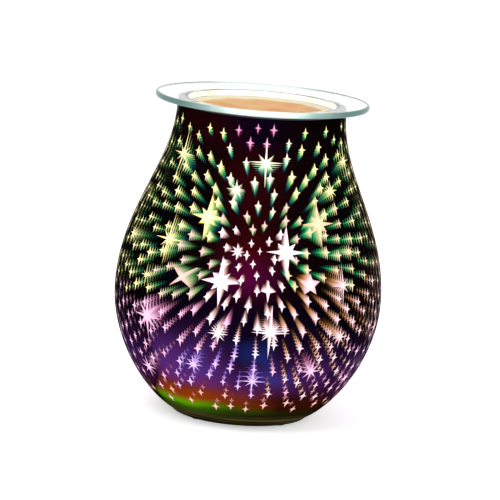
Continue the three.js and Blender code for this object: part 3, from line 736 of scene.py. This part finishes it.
# Finishes of the CAD nodes that stay: dark tone, pale tone and roughness
MOULDINGS = {
    "silicone": ((0.62, 0.62, 0.6), (0.7, 0.7, 0.67), 0.5),
    "black_moulding": ((0.012, 0.012, 0.013), (0.022, 0.022, 0.024), 0.42),
    "black_rubber": ((0.008, 0.008, 0.008), (0.016, 0.016, 0.016), 0.75),
    "ceramic": ((0.74, 0.72, 0.67), (0.84, 0.82, 0.77), 0.35),
    "brown_insulation": ((0.2, 0.08, 0.03), (0.27, 0.12, 0.05), 0.5),
    "blue_insulation": ((0.03, 0.1, 0.34), (0.05, 0.15, 0.42), 0.5),
    "white_plastic": ((0.72, 0.71, 0.67), (0.8, 0.79, 0.76), 0.4),
}
METALS = {
    "zinc_steel": ((0.45, 0.46, 0.47), (0.62, 0.63, 0.64), 0.32),
    "brass": ((0.55, 0.38, 0.14), (0.75, 0.56, 0.26), 0.3),
    "reflector_mirror": ((0.76, 0.77, 0.8), (0.86, 0.87, 0.9), 0.16),
}


def slot_paints():
    paints = {name: moulding_paint(name, *finish) for name, finish in MOULDINGS.items()}
    paints.update({name: metal_paint(name, *finish) for name, finish in METALS.items()})
    paints["clear_glass"] = glass_paint("lens_glass")
    paints["quartz"] = quartz_paint()
    return paints


# ---- the jar


def build_jar():
    """The outer film, the dark foot and the silvered inside, as one closed body."""
    outer = [tuple(p) for p in outline.points[::CURVE_EVERY]]
    outer.append(tuple(outline.points[-1]))
    bare = sum(1 for _, z in outer if z < FOOT_GLASS_TOP)
    lip = arc((NECK_RADIUS - LIP_ROUND, LIP_TOP - LIP_ROUND), LIP_ROUND, 0, 180, LIP_STEPS)[1:]
    highest = lip[-1][1] - MIRROR_BELOW_LIP
    inner = [tuple(p) for p in inset(glow, MIRROR_INSET)[::-2] if WEB_TOP + WEB_CORNER < p[1] < highest]
    web = [(inner[-1][0] - WEB_CORNER, WEB_TOP), (HOLE_RADIUS, WEB_TOP), (HOLE_RADIUS, WEB_UNDERSIDE)]
    foot = [
        (FOOT_INNER, WEB_UNDERSIDE),
        (FOOT_INNER, FOOT_LEVEL + FOOT_ROUND / 2),
        (FOOT_INNER + FOOT_ROUND / 2, FOOT_LEVEL),
    ]
    round_centre = (FOOT_RADIUS - FOOT_ROUND, FOOT_LEVEL + FOOT_ROUND)
    foot += arc(round_centre, FOOT_ROUND, -90, 0, ROUND_STEPS)[:-1]
    film, thick_glass, mirror, cut = range(4)
    rows = (
        (thick_glass, bare),
        (film, len(outer) - 1 - bare + LIP_FILM_ROWS),
        (cut, len(lip) - LIP_FILM_ROWS),
        (mirror, len(inner) + 1),
        (thick_glass, len(web) + len(foot)),
    )
    slots = [slot for slot, count in rows for _ in range(count)]
    paints = [film_paint(), foot_paint(), mirror_paint(), lip_paint()]
    return lathe("jar_glass", outer + lip + inner + web + foot, paints, slots)


def build_glow():
    """The opaque shell that carries the colours behind the stars."""
    profile = [tuple(p) for p in glow] + [tuple(p) for p in inset(glow, GLOW_WALL)[::-2]]
    return lathe("jar_glow", profile, [glow_paint()], sharp=60)


# ---- the stars


def eight_tips(sideways, between, upright):
    return tuple(zip((sideways, between, upright, between) * 2, range(0, 360, 45)))


# Tips as reach in millimetres and degrees, and the radius of the waists between them
STAR_SHAPES = {
    "plain5": (tuple((5.6, 90 + 72 * i) for i in range(5)), 2.5),
    "plain4": (((3.8, 0), (5.2, 90), (3.8, 180), (5.6, 270)), 1.15),
    "cross": (((9.5, 38), (9.5, 142), (8.5, 218), (8.5, 322)), 1.5),
    "needle": (eight_tips(8.7, 5.4, 12.6), 1.35),
    "broad": (eight_tips(9.2, 5.6, 12.0), 2.7),
    "burst": (eight_tips(5.2, 4.6, 5.8), 1.2),
    "small": (((2.05, 0), (3.0, 90), (2.05, 180), (3.2, 270)), 0.74),
}
WAIST_TONE = 0.35

# Large stars on the front: degrees round to the right, height, kind, size
FRONT_STARS = (
    (-53.8, 130.3, "needle", 1.0), (-23.3, 104.7, "broad", 1.0), (-11.2, 118.3, "burst", 0.9),
    (-41.6, 91.7, "needle", 1.05), (-71.2, 88.5, "burst", 1.0), (5.0, 131.4, "needle", 1.0),
    (34.6, 104.2, "broad", 1.0), (68.6, 130.8, "needle", 0.85), (47.4, 118.7, "burst", 0.9),
    (16.5, 91.6, "broad", 1.1), (44.8, 75.6, "needle", 0.9), (10.8, 53.8, "needle", 1.1),
    (44.8, 50.6, "burst", 1.0), (33.4, 33.8, "burst", 1.2), (63.5, 26.2, "burst", 1.05),
    (76.9, 51.0, "needle", 0.9), (27.3, 76.8, "plain5", 1.0), (8.5, 73.6, "plain4", 1.0),
    (5.3, 28.3, "needle", 0.85), (-12.2, 76.2, "broad", 1.05), (-46.8, 53.6, "burst", 1.9),
    (-11.4, 51.5, "burst", 1.0), (-23.0, 33.9, "burst", 1.0), (-29.9, 75.8, "cross", 1.0),
    (-53.3, 26.6, "burst", 1.2), (-6.3, 90.7, "burst", 0.75), (51.5, 90.7, "burst", 0.75),
    (-50.0, 72.8, "needle", 0.5),
)
STAR_SEED = 4
BACK_TRIES = 4000
BACK_AZIMUTHS = (88, 272)
BACK_HEIGHTS = (24, 132)
BACK_SIZES = (0.8, 1.15)
BACK_KINDS = ("needle", "broad", "burst", "burst", "needle", "plain5", "burst", "cross")
LARGE_APART = 21.0
SMALL_TRIES = 60000
SMALL_SIZES = (0.82, 1.12)
SMALL_APART = 7.3
CORE_CLEAR = 6.2
LOWEST_STAR, HIGHEST_STAR = 11.5, 147.5
# Near the middle of the front and of the back, small stars stand closer together and are smaller
CROWDED_AZIMUTHS = (3, 183)
CROWDED_HEIGHT = 88.0
CROWDED_REACH = 34.0
CROWDED_CORE, CROWDED_APART, CROWDED_SIZE = 0.3, 0.36, 0.28
# Small stars' trails shorten from this far aside, over this much, by this share
SHORT_FROM, SHORT_OVER, SHORT_BY = 0.62, 0.28, 0.62
# Millimetres above which stars wear their part's colours, from the neck down. A small star's place is
# taken a little aside and a little higher or lower, so that no hard line shows.
NECK, SHOULDER, UPPER, MIDDLE, LOWER, LOWEST = 138, 110, 84, 62, 40, 19
SIDE_DRIFT, HEIGHT_DRIFT = 0.08, 4
WHITE_BELOW = 102
PALE_BELOW = 97
GREEN_ABOVE, SMALL_GREEN_ABOVE = 78, 72
TAN_CHANCE = 0.4


def star_outline(kind):
    """Outline points as across and up in millimetres, and how far out the tone is, from 0 to 1."""
    tips, waist = STAR_SHAPES[kind]
    points = []
    for i, (reach, angle) in enumerate(tips):
        a = math.radians(angle)
        points.append((reach * math.cos(a), reach * math.sin(a), 1.0))
        following = tips[(i + 1) % len(tips)][1]
        between = math.radians(angle + ((following - angle) % 360) / 2)
        points.append((waist * math.cos(between), waist * math.sin(between), WAIST_TONE))
    return points


def nearest(points, here):
    return np.linalg.norm(points - here, axis=1).min()


def scatter_stars():
    """Large stars listed for the front and set by chance behind, then small ones evenly between them."""
    rng = random.Random(STAR_SEED)
    large = list(FRONT_STARS)
    cores = np.array([on_surface(azimuth, height) for azimuth, height, _, _ in large])
    for _ in range(BACK_TRIES):
        azimuth, height = rng.uniform(*BACK_AZIMUTHS), rng.uniform(*BACK_HEIGHTS)
        here = on_surface(azimuth, height)
        if nearest(cores, here) > LARGE_APART:
            cores = np.vstack([cores, here])
            kind = BACK_KINDS[len(large) % len(BACK_KINDS)]
            large.append((azimuth, height, kind, rng.uniform(*BACK_SIZES)))
    lengths = outline.length_at(LOWEST_STAR), outline.length_at(HIGHEST_STAR)
    small, spots = [], np.empty((0, 3))
    crowded = np.array([on_surface(azimuth, CROWDED_HEIGHT) for azimuth in CROWDED_AZIMUTHS])
    for _ in range(SMALL_TRIES):
        r, z, _, _ = outline.at(rng.uniform(*lengths))
        if rng.random() > r / BELLY_RADIUS:
            continue
        azimuth = rng.uniform(-180, 180)
        here = on_surface(azimuth, z)
        near = max(0.0, 1 - float(nearest(crowded, here)) / CROWDED_REACH)
        if nearest(cores, here) < CORE_CLEAR * (1 - CROWDED_CORE * near):
            continue
        if len(spots) and nearest(spots, here) < SMALL_APART * (1 - CROWDED_APART * near):
            continue
        spots = np.vstack([spots, here])
        small.append((azimuth, float(z), "small", rng.uniform(*SMALL_SIZES) * (1 - CROWDED_SIZE * near)))
    return large, small


def star_tone(azimuth, height, kind, rng):
    """Which colours a star wears, by height in millimetres and by side, -1 left to 1 right."""
    side = math.sin(math.radians(azimuth))
    small = kind == "small"
    if small:
        side += rng.uniform(-SIDE_DRIFT, SIDE_DRIFT)
        height += rng.uniform(-HEIGHT_DRIFT, HEIGHT_DRIFT)
    off = abs(side)
    central = off < 0.36
    if height > NECK:
        return PINK if central else YELLOW
    if height > SHOULDER:
        return CREAM if central else YELLOW
    if height > UPPER:
        if off < 0.3 and height < WHITE_BELOW:
            return WHITE
        if central or (-0.55 < side < 0 and height < PALE_BELOW):
            return PALE
        return GREEN if side > 0 else YELLOW
    if height > MIDDLE:
        if off < 0.24:
            return WHITE
        if side > 0:
            return GREEN if height > (SMALL_GREEN_ABOVE if small else GREEN_ABOVE) else TAN
        return PALE if side > -0.7 else YELLOW
    if height > LOWER:
        if off < 0.2:
            return WHITE
        return TAN if side > 0 else LILAC
    if height > LOWEST:
        if side > 0.3:
            return TAN if rng.random() < TAN_CHANCE else LILAC
        return LILAC if side < -0.55 else VIOLET
    return PEACH


def trail_reach(azimuth, height, kind):
    """How far back a star's copies go. Small stars at both sides have short trails."""
    reach = float(deepest_share(height))
    if kind != "small":
        return reach
    aside = (abs(math.sin(math.radians(azimuth))) - SHORT_FROM) / SHORT_OVER
    return reach * (1 - SHORT_BY * min(max(aside, 0.0), 1.0))


def build_stars(name, stars, material, thickness):
    """Every star is a thin closed solid that follows the glass, over copies that shrink and fade: its
    painted reflections.
    """
    rng = random.Random(STAR_SEED + 1)
    vertices, faces, uvs = [], [], []
    kinds = len(STAR_TONES)
    centre = np.array(VANISHING_POINT)
    levels, steps = zip(*COPY_STEPS)
    for azimuth, height, kind, size in stars:
        tone = star_tone(azimuth, height, kind, rng)
        shape = star_outline(kind)
        start = outline.length_at(height)
        step = np.interp(height, levels, steps)
        reach = trail_reach(azimuth, height, kind)
        full = deepest_share(height) if height > centre[2] else DEEPEST_SHARE
        fade = (reach + full) / 2
        for copy in range(1 + int((reach - HEAD_SHARE) / step)):
            share = HEAD_SHARE + copy * step
            across = share / fade
            middle = on_surface(azimuth, height)
            middle += (centre - middle) * share
            if math.hypot(middle[0], middle[1]) - glow_radius(middle[2]) < 2 * STAR_CLEARANCE:
                break
            shrink = size * (1 - (1 - TAIL_WIDTH) * across)
            first = len(vertices)
            pattern = [(x * shrink, y * shrink, out, 0.0) for x, y, out in shape]
            pattern += [(0.0, 0.0, 0.0, thickness), (0.0, 0.0, 0.0, -thickness)]
            for x, y, out, lift in pattern:
                r, z, nr, nz = (float(v) for v in outline.at(start + y))
                a = math.radians(azimuth) + x / r
                rho = r + nr * lift
                point = np.array([rho * math.sin(a), -rho * math.cos(a), z + nz * lift])
                point += (centre - point) * share
                rho = math.hypot(point[0], point[1])
                least = glow_radius(point[2]) + STAR_CLEARANCE
                if rho < least:
                    point[:2] *= least / rho
                vertices.append(tuple(point * MM))
                depth = min(across, 1.0) * DEPTH_SPAN + DEPTH_START
                uvs.append((depth, (tone + TIP_START + TIP_SPAN * out) / kinds))
            count = len(shape)
            front, back = first + count, first + count + 1
            for i in range(count):
                j = (i + 1) % count
                faces.append((first + i, first + j, front))
                faces.append((first + j, first + i, back))
    obj = new_object(name, vertices, faces, [material], smooth=False)
    layer = obj.data.uv_layers.new(name="OFBake")
    corners = np.empty(len(obj.data.loops), np.int32)
    obj.data.loops.foreach_get("vertex_index", corners)
    layer.data.foreach_set("uv", np.asarray(uvs, np.float32)[corners].ravel())
    return obj


# ---- the dish and the wax


def well_radius(level):
    """The well's inner radius, which narrows downwards."""
    return DISH_NECK - DISH_WALL - (MOUTH_TOP - level) * DISH_SLOPE


def well_foot(clearance):
    """The well's floor on the axis and its rounded foot, drawn in by a clearance."""
    floor = DISH_TOP - DISH_DEPTH + DISH_FLOOR + clearance
    radius = well_radius(floor + DISH_FOOT_ROUND) - DISH_FOOT_ROUND - clearance
    centre = (radius, floor + DISH_FOOT_ROUND)
    return [(0.0, floor)], arc(centre, DISH_FOOT_ROUND, -90, 0, FOOT_STEPS)


def rim_level(radius, top):
    """Level of the rim's upper or lower face, which falls from the edge to the well."""
    return top - (DISH_BEND - radius) * RIM_SLOPE


def build_dish():
    rim_under = DISH_TOP - DISH_RIM
    floor_under = DISH_TOP - DISH_DEPTH
    outer_foot = well_radius(floor_under + DISH_FLOOR + DISH_FOOT_ROUND) - DISH_FOOT_ROUND + DISH_WALL
    neck_top = rim_level(DISH_NECK + UNDER_RIM_BEND[-1][0], rim_under)
    centre, foot = well_foot(0.0)
    profile = [(0.0, floor_under)]
    profile += arc((outer_foot, floor_under + DISH_FOOT_ROUND), DISH_FOOT_ROUND, -90, 0, FOOT_STEPS)
    profile += [(DISH_NECK + out, neck_top - down) for out, down in UNDER_RIM_BEND]
    profile += [(r, rim_level(r, rim_under)) for r in RINGS_UNDER_RIM]
    edge_from = len(profile)
    profile += arc((DISH_BEND, rim_under + DISH_EDGE), DISH_EDGE, -90, 0, ROUND_STEPS)
    profile += arc((DISH_BEND, DISH_TOP - DISH_EDGE), DISH_EDGE, 0, 90, ROUND_STEPS)
    edge_to = len(profile) - 1
    profile += [(r, rim_level(r, DISH_TOP)) for r in RINGS_ON_RIM]
    profile += arc((DISH_MOUTH, MOUTH_TOP - DISH_MOUTH_ROUND), DISH_MOUTH_ROUND, 90, 180, ROUND_STEPS)
    wax_reflection_to = len(profile)
    profile.append((well_radius(WAX_TOP), WAX_TOP))
    profile += foot[::-1]
    profile += centre
    clear, edge, wax_reflection = range(3)
    slots = [clear] * len(profile)
    slots[edge_from:edge_to] = [edge] * (edge_to - edge_from)
    # The rows just above the wax carry a painted reflection of the lit wax.
    slots[wax_reflection_to - WAX_REFLECTION_ROWS:wax_reflection_to] = [wax_reflection] * WAX_REFLECTION_ROWS
    paints = [glass_paint("dish_glass", density=8.0), edge_paint(), wax_reflection_paint()]
    return lathe("dish_glass", profile, paints, slots, closed=False, sharp=50)


def build_wax():
    centre, foot = well_foot(WAX_GAP)
    rim = well_radius(WAX_TOP) - WAX_GAP
    edge = [(rim - inwards, WAX_TOP - down) for inwards, down in WAX_EDGE]
    flat, surface = edge[-1][0], WAX_TOP - WAX_SURFACE
    rings = [(flat * (1 - i / WAX_RINGS), surface) for i in range(1, WAX_RINGS)]
    first_free = len(centre) + len(foot) + len(edge)

    def ripple(r, angle, i):
        """Slow waves on the free surface, in millimetres."""
        if i < first_free:
            return 0.0
        x, y = r * math.cos(angle), r * math.sin(angle)
        swell = 0.12 * math.sin(0.31 * x + 1.3) * math.sin(0.27 * y + 0.4)
        return swell + 0.06 * math.sin(0.7 * x - 0.5 * y)

    profile = centre + foot + edge + rings + [(0.0, surface)]
    return lathe("wax_top", profile, [wax_paint()], closed=False, bump=ripple, sharp=50)


# ---- the stage


def white_where_seen(tree, dim, bright):
    """dim for light, and bright where the camera, a mirror or glass shows it."""
    path = tree.nodes.new("ShaderNodeLightPath")
    total = path.outputs["Is Camera Ray"]
    for name in ("Is Glossy Ray", "Is Transmission Ray"):
        adder = tree.nodes.new("ShaderNodeMath")
        adder.operation = "ADD"
        adder.use_clamp = True
        tree.links.new(total, adder.inputs[0])
        tree.links.new(path.outputs[name], adder.inputs[1])
        total = adder.outputs[0]
    spread = tree.nodes.new("ShaderNodeMapRange")
    spread.inputs["To Min"].default_value = dim
    spread.inputs["To Max"].default_value = bright
    tree.links.new(total, spread.inputs["Value"])
    return spread.outputs["Result"]


def add_lamp(name, place, size, power):
    light = bpy.data.lights.new(name, "AREA")
    light.shape = "DISK"
    light.size = size
    light.energy = power
    obj = bpy.data.objects.new(name, light)
    obj.location = place
    obj.rotation_mode = "QUATERNION"
    obj.rotation_quaternion = (Vector(LAMPS_AIM) - Vector(place)).to_track_quat("-Z", "Y")
    bpy.context.scene.collection.objects.link(obj)


def build_stage():
    world = bpy.data.worlds.new("studio")
    bpy.context.scene.world = world
    world.use_nodes = True
    tree = world.node_tree
    background = tree.nodes["Background"]
    background.inputs["Color"].default_value = (1, 1, 1, 1)
    tree.links.new(white_where_seen(tree, SKY_LIGHT, SKY_SEEN), background.inputs["Strength"])

    far = FLOOR_REACH
    corners = [(-far, -far, 0), (far, -far, 0), (far, far, 0), (-far, far, 0)]
    floor = new_object("floor", corners, [(0, 1, 2, 3)], smooth=False)
    paint = Paint("pale_floor", Base_Color=grey(0.86), Roughness=0.9, Specular_IOR_Level=0.0)
    paint.shine(grey(1), white_where_seen(paint.tree, 0.0, FLOOR_SEEN))
    floor.data.materials.append(paint.material)

    for lamp in LAMPS:
        add_lamp(*lamp)


def build_camera():
    data = bpy.data.cameras.new("camera")
    data.sensor_width = SENSOR
    data.lens = LENS
    data.clip_start, data.clip_end = CAMERA_CLIP
    camera = bpy.data.objects.new("camera", data)
    bpy.context.scene.collection.objects.link(camera)
    forward = Vector((0, math.cos(CAMERA_ELEVATION), -math.sin(CAMERA_ELEVATION)))
    level = Vector((1, 0, 0))
    raised = level.cross(forward)
    right = math.cos(CAMERA_ROLL) * level + math.sin(CAMERA_ROLL) * raised
    up = -math.sin(CAMERA_ROLL) * level + math.cos(CAMERA_ROLL) * raised
    pixel = CAMERA_DISTANCE * SENSOR / LENS / IMAGE_SIZE
    middle = IMAGE_SIZE / 2
    target = Vector((0, 0, AIM_HEIGHT))
    target += right * (middle - AIM_PIXEL[0]) * pixel + up * (AIM_PIXEL[1] - middle) * pixel
    place = target - forward * CAMERA_DISTANCE
    turn = Matrix((right, up, -forward)).transposed().to_4x4()
    camera.matrix_world = Matrix.Translation(place) @ turn
    bpy.context.scene.camera = camera


def dress_frame():
    """Gives every CAD node that stays its finish."""
    paints = slot_paints()
    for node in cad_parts.values():
        name = node.data.materials[0].name.split(".")[0]
        if name in paints:
            node.data.materials[0] = paints[name]


build_camera()
build_stage()
dress_frame()

jar = build_jar()
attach(jar, "base_and_jar")
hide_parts("glass_jar")

shell = build_glow()
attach(shell, "base_and_jar")

starlight = star_paint()
large_stars, small_stars = scatter_stars()
# Each piece holds the stars and the copies that stand for their painted reflections.
for name, stars, thickness in (("stars_large", large_stars, 0.1), ("stars_small", small_stars, 0.08)):
    piece = build_stars(name, stars, starlight, thickness)
    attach(piece, "base_and_jar")

dish = build_dish()
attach(dish, "dish")
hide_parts("glass_dish")

wax = build_wax()
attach(wax, "dish")
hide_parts("wax_pool")

bpy.context.scene.view_settings.view_transform = "Standard"
